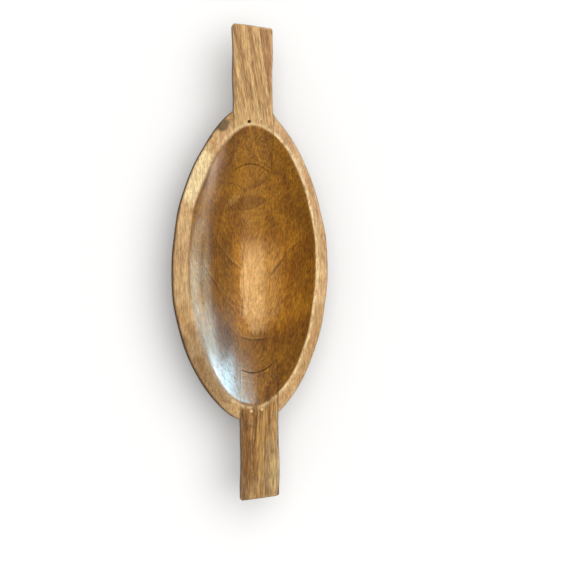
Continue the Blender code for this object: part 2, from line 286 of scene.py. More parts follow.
class BowlShape:
    """The bowl's formulas, for arrays of places, with the sizes of its settings."""

    def __init__(self, body):
        self.body = body
        self.back_tip = body.back_reach + body.widest_y
        self.front_tip = body.front_reach - body.widest_y
        back_edge = self.back_tip - body.back_rim
        front_edge = self.front_tip - body.front_rim
        self.hollow_half_width = (body.width - body.left_rim - body.right_rim) / 2
        self.hollow_half_length = (back_edge + front_edge) / 2
        self.hollow_x = (body.left_rim - body.right_rim) / 2
        self.hollow_y = (back_edge - front_edge) / 2
        self.hollow_depth = body.rim_height - body.floor
        self.hull_top = body.rim_height - body.rim_fall - body.rim_round

    def tip(self, side):
        return self.back_tip if side > 0 else self.front_tip

    def outline(self, angle, inset=0.0):
        """Plan of the outer edge: x = w sign(cos) |cos|^2f and y = r sin, with each end's own r and f."""
        body = self.body
        back = np.sin(angle) >= 0
        reach = np.where(back, body.back_reach, body.front_reach) - inset
        power = 2 * np.where(back, body.back_fullness, body.front_fullness)
        x = (body.width / 2 - inset) * signed_power(np.cos(angle), power)
        return x, body.widest_y + reach * np.sin(angle)

    def foot_outline(self, angle, scale=1.0):
        """Plan of the foot: an ellipse."""
        half_width, half_length = self.body.foot_width / 2, self.body.foot_length / 2
        return scale * half_width * np.cos(angle), scale * half_length * np.sin(angle)

    def hollow_ring(self, angle, level):
        """A ring of the hollow: x = w (level |cos|)^2f, y = l level sin and z = rim - depth (1 - level^k)."""
        body = self.body
        power = 2 * body.hollow_fullness
        x = self.hollow_x + self.hollow_half_width * signed_power(level * np.cos(angle), power)
        y = self.hollow_y + self.hollow_half_length * level * np.sin(angle)
        z = body.rim_height - self.hollow_depth * (1 - level**body.hollow_flatness)
        return np.stack(np.broadcast_arrays(x, y, z), axis=-1)

    def hollow_level(self, x, y):
        """The level of the hollow's ring through a plan point: 1 on the edge, 0 in the middle."""
        across = np.abs(x - self.hollow_x) / self.hollow_half_width
        along = (y - self.hollow_y) / self.hollow_half_length
        return np.sqrt(across ** (1 / self.body.hollow_fullness) + along**2)

    def hollow_height(self, x, y):
        """The hollow's surface over a plan point: z = rim - depth (1 - level^k), running on past the edge."""
        level = self.hollow_level(x, y)
        return self.body.rim_height - self.hollow_depth * (1 - level**self.body.hollow_flatness)

    def hollow_reach(self, x, depth, side):
        """How far the hollow reaches from the origin along one side, that deep below the rim, at each x."""
        level = (1 - depth / self.hollow_depth) ** (1 / self.body.hollow_flatness)
        across = np.abs(x - self.hollow_x) / self.hollow_half_width
        squared = np.maximum(level**2 - across ** (1 / self.body.hollow_fullness), 0)
        return side * self.hollow_y + self.hollow_half_length * np.sqrt(squared)

    def edge_distance(self, x, y):
        """How far a plan point is from the hollow's edge, outwards positive: (level - 1) over its slope."""
        step = 1e-5
        level = self.hollow_level(x, y)
        slope_x = (self.hollow_level(x + step, y) - self.hollow_level(x - step, y)) / (2 * step)
        slope_y = (self.hollow_level(x, y + step) - self.hollow_level(x, y - step)) / (2 * step)
        return (level - 1) / np.maximum(np.hypot(slope_x, slope_y), 1.0)

    def root_end(self, width, side):
        """Where a board's flanks leave the outline, along Y."""
        body = self.body
        back = side > 0
        reach = body.back_reach if back else body.front_reach
        fullness = body.back_fullness if back else body.front_fullness
        across = (width / body.width) ** (1 / fullness)
        return self.tip(side) - reach * (1 - math.sqrt(1 - across))

    def hand(self, points):
        """Moves points as a carver's hand wanders: slow sine waves of the place, none at the foot."""
        x, y, z = points[:, 0], points[:, 1], points[:, 2]
        lift = smooth_step(z, *HAND_HEIGHT_BAND) * self.body.hand
        moved = points.copy()
        moved[:, 0] += lift * (np.sin(71 * y + 0.6) + 0.6 * np.sin(163 * y + 40 * z + 2.1))
        moved[:, 1] += lift * (0.7 * np.sin(96 * x + 1.1) + 0.4 * np.sin(210 * x + 60 * z))
        moved[:, 2] += lift * (0.45 * np.sin(58 * y + 33 * x) + 0.35 * np.sin(122 * y - 70 * x + 0.8))
        return moved


def grid_faces(rows, columns):
    """Quads between rows of a grid whose columns close up into a loop."""
    index = np.arange(rows * columns).reshape(rows, columns)
    right = np.roll(index, -1, axis=1)
    quads = np.stack((index[:-1], right[:-1], right[1:], index[1:]), axis=-1)
    return quads.reshape(-1, 4)


def make_piece(name, rows, material):
    """An object skinned over a rows x columns x 3 grid, with its poles and doubled points closed up.

    Its faces are triangles, because a cut through bent quads leaves slivers behind.
    """
    count, columns = rows.shape[:2]
    mesh = bpy.data.meshes.new(name)
    mesh.from_pydata(rows.reshape(-1, 3).tolist(), [], grid_faces(count, columns).tolist())
    work = bmesh.new()
    work.from_mesh(mesh)
    bmesh.ops.remove_doubles(work, verts=work.verts, dist=WELD)
    bmesh.ops.dissolve_degenerate(work, edges=work.edges, dist=WELD)
    bmesh.ops.holes_fill(work, edges=work.edges, sides=0)
    bmesh.ops.recalc_face_normals(work, faces=work.faces)
    bmesh.ops.triangulate(work, faces=work.faces)
    work.to_mesh(mesh)
    work.free()
    mesh.materials.append(material)
    piece = bpy.data.objects.new(name, mesh)
    bpy.context.scene.collection.objects.link(piece)
    return piece


def prism(name, outline, bottom, top):
    """A flat outline raised between two heights, as a tool that cuts other pieces."""
    count = len(outline)
    plan = np.array(outline)
    low = np.column_stack((plan, np.full(count, bottom)))
    high = np.column_stack((plan, np.full(count, top)))
    around = np.arange(count)
    after = np.roll(around, -1)
    walls = np.stack((around, after, after + count, around + count), axis=-1).tolist()
    caps = [around[::-1].tolist(), (around + count).tolist()]
    mesh = bpy.data.meshes.new(name)
    mesh.from_pydata(np.vstack((low, high)).tolist(), [], walls + caps)
    tool = bpy.data.objects.new(name, mesh)
    bpy.context.scene.collection.objects.link(tool)
    return tool


def circle(x, y, radius):
    turn = np.linspace(0, 2 * math.pi, PEG_COLUMNS, endpoint=False)
    return np.column_stack((x + radius * np.cos(turn), y + radius * np.sin(turn)))


def cut(piece, tools):
    """Cuts each tool out of the piece, keeps the result as its mesh and throws the tools away."""
    bpy.context.view_layer.update()
    piece_size = piece.dimensions.copy()
    for tool in tools:
        boolean = piece.modifiers.new(tool.name, "BOOLEAN")
        boolean.operation = "DIFFERENCE"
        boolean.solver = "EXACT"
        boolean.object = tool
    evaluated = piece.evaluated_get(bpy.context.evaluated_depsgraph_get())
    mesh = bpy.data.meshes.new_from_object(evaluated)
    if not mesh.vertices or any(new > old + WELD for new, old in zip(evaluated.dimensions, piece_size)):
        raise RuntimeError(piece.name + " could not be cut")
    piece.modifiers.clear()
    uncut = piece.data
    piece.data = mesh
    mesh.name = piece.name
    bpy.data.meshes.remove(uncut)
    for tool in tools:
        bpy.data.meshes.remove(tool.data)


def finish_marks(shape, points):
    """How much of each finish the points show: the oiled hollow, the oil's gloss, worn crest and outside.

    The oil ends on the hollow's edge and runs a little over it on the left. Near both ends of the left side
    the rim's pale colour runs some way into the hollow as a painted sheen, and the dark outside reaches
    higher on the left as painted shade. The crest's wear is e^(-(d / width)^2), with d off the crest's
    middle.
    """
    x, y, z = points.T
    distance = shape.edge_distance(x, y)
    left = smooth_step(-x, *LEFT_SIDE_BAND)
    on_hollow = smooth_step(z - shape.hollow_height(x, y), *HOLLOW_SKIN_BAND)
    oil_thins, oil_ends = -0.0012, -0.0001 + 0.0010 * left
    # The rim's pale colour runs into the left of the hollow near both ends: a painted sheen on that wall.
    sheen_front = PAINTED_SHEEN_FRONT * smooth_step(-y, *PAINTED_SHEEN_FRONT_BAND)
    sheen_back = PAINTED_SHEEN_BACK * smooth_step(y, *PAINTED_SHEEN_BACK_BAND)
    painted_sheen_reach = left * (sheen_front + sheen_back)
    crest_middle, crest_width = 0.0008, 0.0013 + 0.0008 * left
    crest = np.exp(-(((distance - crest_middle) / crest_width) ** 2))
    # The dark outside reaches higher on the left: painted shade on that side of the rim's edge.
    hull_ends = shape.hull_top - 0.0002 + 0.0024 * left
    rim_starts = shape.hull_top + 0.0032 + 0.0006 * left
    return {
        "hollow": on_hollow * (1 - smooth_step(distance, oil_thins - painted_sheen_reach, oil_ends - 0.15 * painted_sheen_reach)),
        "oiled": on_hollow * (1 - smooth_step(distance, oil_thins, oil_ends)),
        "crest": crest * smooth_step(z, RIM_TOP - 0.004, RIM_TOP - 0.002),
        "outside": 1 - smooth_step(z, hull_ends, rim_starts),
    }


def finish_piece(piece, shape, node, own_marks=None):
    """Lets the carver's hand wander over a piece, marks its surface for the finishes and seats it."""
    mesh = piece.data
    flat = np.empty(len(mesh.vertices) * 3)
    mesh.vertices.foreach_get("co", flat)
    points = flat.reshape(-1, 3)
    marks = finish_marks(shape, points)
    if own_marks:
        marks.update(own_marks(points))
    for name, values in marks.items():
        mark = mesh.attributes.new(name, "FLOAT", "POINT")
        mark.data.foreach_set("value", values)
    mesh.vertices.foreach_set("co", shape.hand(points).ravel())
    mesh.update()
    mesh.shade_smooth()
    mesh.set_sharp_from_angle(angle=SHARP_ANGLE)
    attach(piece, "root")
    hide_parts(node)


def body_rows(shape):
    """Rings of the body: out over the foot, up the hull, over the rim and its crest, down into the hollow.

    The hull runs from the foot's outline to the rim's by 1 - (1 - z / top)^k. Each eased edge is the curve
    (1 - t)^2 a + 2 t (1 - t) c + t^2 b from a point a before its corner c to a point b after it.
    """
    body = shape.body
    angle = np.linspace(0, 2 * math.pi, BODY_COLUMNS, endpoint=False)[None, :]

    def ring(plan, height):
        return np.stack(np.broadcast_arrays(plan[0], plan[1], height), axis=-1)

    def eased(before, corner, after, count):
        t = np.linspace(0, 1, count)[:, None, None]
        return (1 - t) ** 2 * before + 2 * t * (1 - t) * corner + t**2 * after

    def hull(height):
        drawn_in = (1 - height / shape.hull_top) ** body.hull_fullness
        rim, foot = shape.outline(angle), shape.foot_outline(angle)
        return ring([r + (f - r) * drawn_in for r, f in zip(rim, foot)], height)

    foot_inner = 1 - 2 * body.foot_edge / body.foot_width
    foot = ring(shape.foot_outline(angle, np.linspace(0, foot_inner, FOOT_RINGS)[:, None]), 0.0)
    hull_start = 0.5 * body.foot_edge
    foot_edge = eased(
        foot[-1:], ring(shape.foot_outline(angle), 0.0), hull(hull_start), FOOT_EDGE_RINGS
    )
    climb = np.linspace(0, 1, HULL_RINGS)[:, None] ** HULL_CROWDING
    wall = hull(hull_start + (shape.hull_top - hull_start) * climb)
    turn = np.linspace(0, math.pi / 2, ROUND_RINGS)[:, None]
    rounded = ring(
        shape.outline(angle, body.rim_round * (1 - np.cos(turn))),
        shape.hull_top + body.rim_round * np.sin(turn),
    )

    # The left of the hollow's edge is eased more than the right, and its flank most of all.
    crest = shape.hollow_ring(angle, np.ones((1, 1)))
    across = crest - rounded[-1:]
    left = smooth_step(-np.cos(angle), *LEFT_EDGE_BAND)
    outwards = body.crest_round + (body.left_crest_out - body.crest_round) * left
    flank = smooth_step(-np.cos(angle), *FLANK_EDGE_BAND)
    inwards = body.left_crest_in + (body.flank_crest_in - body.left_crest_in) * flank
    inwards = body.crest_round + (inwards - body.crest_round) * left
    outward = -across / np.linalg.norm(across, axis=-1)[..., None]
    before = crest + outward * outwards[..., None]
    corner = crest + outward * (body.flank_crest_shift * flank)[..., None]
    t = np.linspace(0, 1, RIM_RINGS)[:, None, None]
    rim = rounded[-1:] + (before - rounded[-1:]) * t
    level_step = 0.01
    inward = shape.hollow_ring(angle, np.full((1, 1), 1 - level_step)) - crest
    after_level = 1 - level_step * inwards / np.linalg.norm(inward, axis=-1)
    after = shape.hollow_ring(angle, after_level)
    crest_edge = eased(before, corner, after, CREST_RINGS)
    down = np.linspace(1, 0, HOLLOW_RINGS)[:, None]
    hollow = shape.hollow_ring(angle, after_level * down)
    rows = np.concatenate(
        (foot, foot_edge[1:], wall[1:], rounded[1:], rim[1:], crest_edge[1:], hollow[1:])
    )

    # The front leans outside the hollow and above the foot.
    x, y, z = rows[..., 0], rows[..., 1], rows[..., 2]
    outer = smooth_step(shape.edge_distance(x, y), *LEAN_RIM_BAND) * smooth_step(z, *LEAN_HEIGHT_BAND)
    rows[..., 0] = x + body.front_lean * outer * smooth_step(-y, *LEAN_FRONT_BAND)
    return rows


def sweep_throats(shape, rows, boards):
    """Sweeps the ends of the rim out along the handles: y grows by throat e^(-d / width), d off the flank."""
    x, y, z = rows[..., 0], rows[..., 1], rows[..., 2]
    for side, board in boards.items():
        off_flank = np.maximum(np.abs(x - board.x) - board.width / 2, 0)
        outside = smooth_step(shape.edge_distance(x, y), *THROAT_RIM_BAND) * (side * y > 0)
        high = smooth_step(z, *THROAT_HEIGHT_BAND)
        throat = np.where(x < board.x, board.left_throat, board.right_throat)
        width = np.where(x < board.x, board.left_throat_width, board.throat_width)
        y += side * throat * np.exp(-off_flank / width) * outside * high
    return rows


def root_line(shape, board, x, side):
    """Where a root ends, from the bowl's middle: a bow, or farther where the hollow leaves it too thin."""
    bow = board.root_y - board.root_bow * (x - board.root_x) ** 2
    return np.maximum(bow, shape.hollow_reach(x, board.thickness - board.root_lip, side))


def housing(shape, board, side):
    """The slot in the body that takes a handle's root: its outline and depth and a glue line all round."""
    half = board.width / 2 + 2 * board.glue_line
    x = board.x + np.linspace(-half, half, HOUSING_POINTS)
    inner = root_line(shape, board, x, side) - 3 * board.glue_line
    outer = np.array([shape.tip(side) + HOUSING_OVERSHOOT] * 2)
    outline = np.column_stack((np.append(x, x[[-1, 0]]), side * np.append(inner, outer)))
    outline = outline if side > 0 else outline[::-1]
    bottom = RIM_TOP - board.thickness - 2 * board.glue_line
    return prism("housing", outline, bottom, RIM_TOP + HOUSING_OVERSHOOT)


def section_corners():
    """Points round a board's section, as shares of its flats and its corner radius.

    A point lies at x = a (half - r) + c r and z = b (tall - r) + d r, and the four columns are a, c, b, d.
    """
    quarter = np.linspace(0, math.pi / 2, CORNER_POINTS)
    face = np.linspace(1, -1, FACE_POINTS + 2)[1:-1]
    flank = np.linspace(1, -1, FLANK_POINTS + 2)[1:-1]

    def run(a, c, b, d):
        return np.column_stack(np.broadcast_arrays(a, c, b, d))

    def corner(a, b, first_turn):
        return run(a, np.cos(first_turn + quarter), b, np.sin(first_turn + quarter))

    return np.concatenate((
        corner(1, 1, 0), run(face, 0, 1, 1),
        corner(-1, 1, math.pi / 2), run(-1, -1, flank, 0),
        corner(-1, -1, math.pi), run(-face, 0, -1, -1),
        corner(1, -1, 1.5 * math.pi), run(1, 1, -flank, 0),
    ))


def board_rows(shape, board, side):
    """Sections of a handle, from the thin edge of its root in the hollow to the middle of its end face.

    Each section is a rounded rectangle. Its top is the lesser of the flat face and the hollow's surface,
    and its line across follows the hollow's edge at the root and turns into the slanted end.
    """
    a, c, b, d = section_corners().T[:, None, :]
    bottom = RIM_TOP - board.thickness
    tip = shape.tip(side)
    leave = shape.root_end(board.width, side)
    end = tip + board.reach
    root_share = np.linspace(0, 1, ROOT_SECTIONS)
    root_share = (1 - ROOT_CROWDING) * root_share + ROOT_CROWDING * smooth_step(root_share, 0, 1)
    root_share = root_share[:, None]
    free_share = np.linspace(0, 1, BOARD_SECTIONS + 1)[1:, None] ** BOARD_CROWDING
    turn = np.linspace(0, math.pi / 2, END_ROUND_SECTIONS + 1)[1:, None]
    shrink = np.linspace(1, 0, END_FACE_SECTIONS + 1)[1:, None]
    rows = []

    def section(share, along, inset, scale):
        """Adds sections. Share is 0 at the root and 1 at the end, and along gives the distance at each x."""
        wander = 1 + 0.25 * np.sin(9 * share + side) + 0.18 * np.sin(23 * share + 2 * side)
        grown = smooth_step(share, *EDGE_GROWTH_BAND)
        own = board.edge + (board.right_edge - board.edge) * (1 + a) * (1 + b) / 4
        own = own + (board.left_edge - board.edge) * (1 - a) * (1 + b) / 4
        edge = (board.root_edge + (own * wander - board.root_edge) * grown) - inset * 0.8
        edge = np.maximum(edge, 0.5 * board.root_edge)
        half = (board.width + (board.end_width - board.width) * share) / 2
        half = half + board.glue_line * (1 - grown) - inset
        middle = board.x + (board.end_x - board.x) * share
        x = middle + scale * (a * (half - edge) + c * edge)
        y = along(x)
        top = soft_min(RIM_TOP, shape.hollow_height(x, side * y), FACE_EASE) - inset
        low = bottom + inset
        tall = np.maximum(top - low, 0) / 2
        corner = np.minimum(edge, 0.9 * tall)
        z = low + tall + scale * (b * (tall - corner) + d * corner)
        rows.append(np.stack(np.broadcast_arrays(x, side * y, z), axis=-1))

    def start_line(x):
        return root_line(shape, board, x, side)

    def edge_line(x):
        return shape.hollow_reach(x, 0.0, side)

    def end_line(x):
        return end - board.slant * (x - board.end_x) / board.end_width

    def free(share):
        return lambda x: edge_line(x) + (end_line(x) - board.edge - edge_line(x)) * share

    none = np.zeros((1, 1))
    whole = np.ones((1, 1))
    section(none, start_line, none, np.linspace(0, 1, END_FACE_SECTIONS)[:-1, None])
    section(none, lambda x: start_line(x) + (edge_line(x) - start_line(x)) * root_share, none, whole)
    reach_share = np.clip((edge_line(np.array(board.x)) - leave) / (end - leave), None, 0)
    section(np.maximum(reach_share + (1 - reach_share) * free_share, 0), free(free_share), none, whole)
    section(
        whole, lambda x: end_line(x) - board.edge * (1 - np.sin(turn)), board.edge * (1 - np.cos(turn)), whole
    )
    section(whole, end_line, board.edge * whole, shrink)
    return np.concatenate(rows)


def board_marks(shape, board, side, points):
    """A board's own marks: its free edges, and its outside, which lies below its face and out of the hollow.

    Edge is the greatest product of the closeness to two of its faces. The outside is painted dark, partly
    as shade on the flanks.
    """
    x, y, z = points[:, 0], side * points[:, 1], points[:, 2]
    leave = shape.root_end(board.width, side)
    end = shape.tip(side) + board.reach
    share = np.clip((y - leave) / (end - leave), 0, 1)
    off_side = (board.width + (board.end_width - board.width) * share) / 2
    off_side = off_side - np.abs(x - board.x - (board.end_x - board.x) * share)
    off_end = end - board.slant * (x - board.end_x) / board.end_width - y
    off_face = np.minimum(RIM_TOP - z, z - RIM_TOP + board.thickness)
    near = [1 - smooth_step(off, 0, 1.5 * board.edge) for off in (off_side, off_end, off_face)]
    edge = np.maximum(np.maximum(near[0] * near[1], near[1] * near[2]), near[0] * near[2])
    below_face = 1 - smooth_step(z, RIM_TOP - 0.0017, RIM_TOP - 0.0006)
    return {
        "edge": edge * smooth_step(y, leave - 0.002, leave + 0.004),
        "outside": below_face * (shape.edge_distance(x, points[:, 1]) > 0.001),
    }


class Peg:
    """One peg: its node, its handle's side, its place across and behind the hollow's edge, and its depth."""

    def __init__(self, node, side, shift, setback, sunk):
        self.node, self.side, self.shift, self.setback, self.sunk = node, side, shift, setback, sunk

    def place(self, shape, board):
        x = board.x + self.shift
        reach = shape.hollow_reach(np.array(x), 0.0, self.side)
        return x, self.side * float(reach + self.setback)


PEGS = (
    Peg("back_peg_left", 1, -0.0038, 0.0028, 0.0020),
    Peg("back_peg_right", 1, 0.0059, 0.0064, 0.0),
    Peg("front_peg_left", -1, -0.0070, 0.0036, 0.0),
    Peg("front_peg_right", -1, 0.0019, 0.0036, 0.0),
)


class PegSettings(bpy.types.PropertyGroup):
    """Sizes that the pegs share."""

    diameter: length("Diameter", "Thickness of a peg", 0.0028)
    bite: length("Bite", "How deep a peg goes into the body", 0.006)
    play: length("Play", "Gap between a peg and its hole", 0.0001)


def peg_rows(x, y, bottom, top, radius):
    """Rings of a peg: up its side and over a low crown, r = R cos t and z = top - crown + crown sin t."""
    crown = 0.12 * radius
    turn = np.linspace(0, math.pi / 2, PEG_CROWN_RINGS)[1:]
    side = np.linspace(bottom, top - crown, PEG_SIDE_RINGS)[1:]
    radii = np.concatenate(([0, 0.5 * radius, radius], np.full(len(side), radius), radius * np.cos(turn)))
    heights = np.concatenate(([bottom, bottom, bottom], side, top - crown + crown * np.sin(turn)))
    spin = np.linspace(0, 2 * math.pi, PEG_COLUMNS, endpoint=False)
    uneven = 1 + 0.03 * np.sin(3 * spin) + 0.02 * np.sin(5 * spin + 1)
    across = radii[:, None] * uneven
    return np.stack(
        np.broadcast_arrays(x + across * np.cos(spin), y + across * np.sin(spin), heights[:, None]), axis=-1
    )


def boards_of(settings):
    """Both handles' sizes, by their side: 1 at the back and -1 at the front."""
    return {1: settings.back_handle, -1: settings.front_handle}


def peg_holes(settings, shape, sides, bottom):
    """Tools that bore the holes for the pegs on some sides, from a bottom to above the rim."""
    boards = boards_of(settings)
    radius = settings.pegs.diameter / 2 + settings.pegs.play
    holes = [circle(*peg.place(shape, boards[peg.side]), radius) for peg in PEGS if peg.side in sides]
    return [prism("peg_hole", hole, bottom, RIM_TOP + HOLE_OVERSHOOT) for hole in holes]


VECTOR, FLOAT, COLOUR = "NodeSocketVector", "NodeSocketFloat", "NodeSocketColor"


class Shade:
    """Adds nodes to one tree, each fed by numbers, colours or other nodes' outputs."""

    def __init__(self, tree):
        self.tree = tree

    def feed(self, socket, value):
        if isinstance(value, bpy.types.NodeSocket):
            self.tree.links.new(value, socket)
        elif socket.type == "RGBA" and len(value) == 3:
            socket.default_value = (*value, 1.0)
        else:
            socket.default_value = value

    def add(self, kind, inputs=(), **settings):
        node = self.tree.nodes.new(kind)
        for name, value in settings.items():
            setattr(node, name, value)
        for name, value in dict(inputs).items():
            self.feed(node.inputs[name], value)
        return node

    def math(self, operation, first, *others):
        """One operation on the first value alone, or on it and each of the others in turn."""
        for other in others or (0.0,):
            first = self.add("ShaderNodeMath", {0: first, 1: other}, operation=operation).outputs[0]
        return first

    def times(self, first, *others):
        return self.math("MULTIPLY", first, *others)

    def plus(self, first, *others):
        return self.math("ADD", first, *others)

    def minus(self, first, other):
        return self.math("SUBTRACT", first, other)

    def most(self, first, *others):
        return self.math("MAXIMUM", first, *others)

    def swing(self, noise, strength):
        """A noise about its middle, at a strength."""
        return self.times(self.minus(noise, 0.5), strength)

    def fit(self, value, low, high, new_low=0.0, new_high=1.0):
        """Maps low..high to a new range along a smooth step."""
        node = self.add(
            "ShaderNodeMapRange", {0: value, 1: low, 2: high, 3: new_low, 4: new_high},
            interpolation_type="SMOOTHSTEP",
        )
        return node.outputs[0]

    def fall(self, value, low, high):
        """1 below low and 0 above high."""
        return self.fit(value, low, high, 1.0, 0.0)

    def near(self, value, full, none):
        """1 where a value is within full of 0, and 0 where it is past none."""
        return self.fall(self.math("ABSOLUTE", value), full, none)

    def mix(self, share, first, second, blend="MIX"):
        node = self.add("ShaderNodeMix", data_type="RGBA", blend_type=blend)
        for socket, value in ((node.inputs[0], share), (node.inputs[6], first), (node.inputs[7], second)):
            self.feed(socket, value)
        return node.outputs[2]

    def paint(self, base, *coats):
        """Lays colours over a base, each through its mask at its strength."""
        for mask, strength, tone in coats:
            base = self.mix(self.times(mask, strength), base, tone)
        return base

    def tint(self, value, base):
        """Multiplies a colour by a grey value."""
        grey = self.add("ShaderNodeCombineColor", {0: value, 1: value, 2: value}).outputs[0]
        return self.mix(1.0, base, grey, "MULTIPLY")

    def placed(self, vector, scale, turn=(0, 0, 0), move=(0, 0, 0)):
        inputs = {"Vector": vector, "Scale": scale, "Rotation": turn, "Location": move}
        return self.add("ShaderNodeMapping", inputs).outputs[0]

    def noise(self, vector, scale=None, detail=2.0, roughness=0.5, move=(0, 0, 0)):
        """Noise over places, drawn in by a scale on each axis and moved."""
        if scale:
            vector = self.placed(vector, scale, move=move)
        inputs = {"Vector": vector, "Scale": 1.0, "Detail": detail, "Roughness": roughness}
        return self.add("ShaderNodeTexNoise", inputs).outputs[0]

    def oval(self, vector, centre, radii, turn=0.0):
        """How far out a place is in an oval in plan, turned in degrees: 0 in its middle and 1 on its edge."""
        back = Matrix.Rotation(-math.radians(turn), 3, "Z")
        level = self.placed(vector, (1, 1, 0), back.to_euler(), -(back @ Vector((*centre, 0))))
        scaled = self.placed(level, (1 / radii[0], 1 / radii[1], 0))
        return self.add("ShaderNodeVectorMath", {0: scaled}, operation="LENGTH").outputs["Value"]

    def spot(self, vector, centre, radii, ragged=0.3, turn=0.0, full=0.45):
        """An oval patch in plan with a ragged border: 1 from its middle out to full, and 0 past its edge."""
        border = self.swing(self.noise(vector, (150, 150, 150), 3.0, 0.6), 3 * ragged)
        return self.fall(self.plus(self.oval(vector, centre, radii, turn), border), full, 1.0)

    def part(self, vector, axis):
        return self.add("ShaderNodeSeparateXYZ", {0: vector}).outputs[axis]

    def mark(self, name):
        return self.add("ShaderNodeAttribute", attribute_name=name).outputs["Fac"]


def make_group(name, inputs, outputs):
    """An empty shader group, its sockets listed by kind, with its shading tree, inputs and outputs."""
    tree = bpy.data.node_groups.new(name, "ShaderNodeTree")
    for way, sockets in (("INPUT", inputs), ("OUTPUT", outputs)):
        for kind, labels in sockets.items():
            for label in labels:
                tree.interface.new_socket(name=label, in_out=way, socket_type=kind)
    shade = Shade(tree)
    return shade, shade.add("NodeGroupInput").outputs, shade.add("NodeGroupOutput").inputs


def growth_layers():
    """Growth layers: a slanting plane's height over the layer spacing, bent by slow noise.

    Line is 1 on the thin dark line that ends each layer, Light is 1 on the pale line just before it, and Tone
    climbs from 0 to 1 through a layer. Both lines show only where Seen is 1.
    """
    shade, given, put = make_group(
        "growth_layers",
        {VECTOR: ("Vector", "Slope"), FLOAT: ("Spacing", "Start", "Bend", "Seen")},
        {FLOAT: ("Line", "Light", "Tone")},
    )
    place = given["Vector"]
    height = shade.add("ShaderNodeVectorMath", {0: place, 1: given["Slope"]}, operation="DOT_PRODUCT")
    quick_share = 0.07
    quick = shade.times(shade.noise(place, (150, 90, 150)), quick_share)
    bent = shade.plus(shade.noise(place, (26, 15, 26), 1.0, 0.4), quick)
    bent = shade.times(shade.minus(bent, 0.5 + 0.5 * quick_share), given["Bend"])
    phase = shade.math("DIVIDE", height.outputs["Value"], given["Spacing"])
    phase = shade.plus(phase, bent, given["Start"])
    tone = shade.math("FRACT", phase)
    seen = shade.fit(shade.noise(place, (70, 44, 70), move=(3, 1, 0)), 0.34, 0.52, 0.3, 1.0)
    seen = shade.times(seen, given["Seen"])
    line = shade.fall(shade.math("PINGPONG", phase, 0.5), 0.008, 0.042)
    light = shade.times(shade.fit(tone, 0.90, 0.93), shade.fall(tone, 0.93, 0.96))
    shade.feed(put["Line"], shade.times(line, seen))
    shade.feed(put["Light"], shade.times(light, seen))
    shade.feed(put["Tone"], tone)
    return shade.tree


def wood_fibre():
    """Fibre: noise drawn out along Y. Streak is broad and Fine is thin.

    Pore is 1 in short open pores, and Fleck is 1 in short pale flecks.
    """
    shade, given, put = make_group(
        "wood_fibre",
        {VECTOR: ("Vector",), FLOAT: ("Width", "Lengthening")},
        {FLOAT: ("Streak", "Fine", "Pore", "Fleck")},
    )
    across = shade.math("DIVIDE", 1.0, given["Width"])
    along = shade.math("DIVIDE", across, given["Lengthening"])
    stretch = shade.add("ShaderNodeCombineXYZ", {0: across, 1: along, 2: across}).outputs[0]
    drawn = shade.add("ShaderNodeVectorMath", {0: given["Vector"], 1: stretch}, operation="MULTIPLY")
    drawn = drawn.outputs[0]
    pore = shade.noise(drawn, (3.6, 5.0, 3.6), 1.0, 0.4, (1, 8, 3))
    shade.feed(put["Streak"], shade.noise(drawn, None, 3.0, 0.62))
    shade.feed(put["Fine"], shade.noise(drawn, (1.6, 3.2, 1.6), 2.0, 0.6, (5, 2, 9)))
    shade.feed(put["Pore"], shade.fit(pore, 0.63, 0.72))
    shade.feed(put["Fleck"], shade.fall(pore, 0.30, 0.38))
    return shade.tree


def worn_edge():
    """Wear: a mark along an edge, broken up by noise, as a mask."""
    shade, given, put = make_group("worn_edge", {VECTOR: ("Vector",), FLOAT: ("Mark",)}, {FLOAT: ("Mask",)})
    broken = shade.fit(shade.noise(given["Vector"], (240, 150, 240), 3.0, 0.6), 0.30, 0.62)
    shade.feed(put["Mask"], shade.times(given["Mark"], broken))
    return shade.tree


def joint_grime():
    """Grime in a handle's joint: the bowed line of its root's end, and its two flanks as far as the rim."""
    shade, given, put = make_group(
        "joint_grime",
        {VECTOR: ("Vector",), FLOAT: ("Middle", "Half", "Root X", "Root Y", "Bow", "Side", "To")},
        {FLOAT: ("Mask",)},
    )
    x, y = (shade.part(given["Vector"], axis) for axis in "XY")
    along = shade.times(y, given["Side"])
    off_middle = shade.minus(x, given["Middle"])
    off_flank = shade.minus(shade.math("ABSOLUTE", off_middle), given["Half"])
    bow = shade.times(shade.math("POWER", shade.minus(x, given["Root X"]), 2.0), given["Bow"])
    off_root = shade.minus(shade.plus(along, bow), given["Root Y"])
    arc = shade.times(shade.near(off_root, 0.0002, 0.0009), shade.fall(off_flank, -0.0035, 0.0))
    flank = shade.times(
        shade.near(off_flank, 0.0001, 0.00065),
        shade.math("GREATER_THAN", off_root, 0.0),
        shade.fit(off_middle, -0.005, 0.005, 0.03, 0.55),
        shade.math("LESS_THAN", along, given["To"]),
    )
    broken = shade.fit(shade.noise(given["Vector"], (300, 200, 300)), 0.25, 0.6, 0.45, 1.0)
    shade.feed(put["Mask"], shade.times(shade.most(arc, flank), broken))
    return shade.tree


# The dark lens in the figure at the back of the hollow: its middle, its radii and its turn in degrees.
LENS = ((-0.0005, 0.0545), (0.0165, 0.0062))
LENS_TURN = 12.0


def brushed(shade, place, lean, scale, detail):
    """Streaks that lean outwards by some degrees on both walls of the hollow and cross over on its floor."""
    left, right = (
        shade.noise(shade.placed(place, (1, 1, 1), (0, 0, math.radians(turn))), scale, detail, 0.7)
        for turn in (-90 - lean, -90 + lean)
    )
    to_right = shade.fit(shade.part(place, "X"), -0.012, 0.014)
    return shade.plus(left, shade.times(shade.minus(right, left), to_right))


def any_spot(shade, place, ragged, spots):
    """The most that any of some spots is at each place. A spot has a middle, radii and a turn."""
    return shade.most(*(shade.spot(place, centre, radii, ragged, turn) for centre, radii, turn in spots))


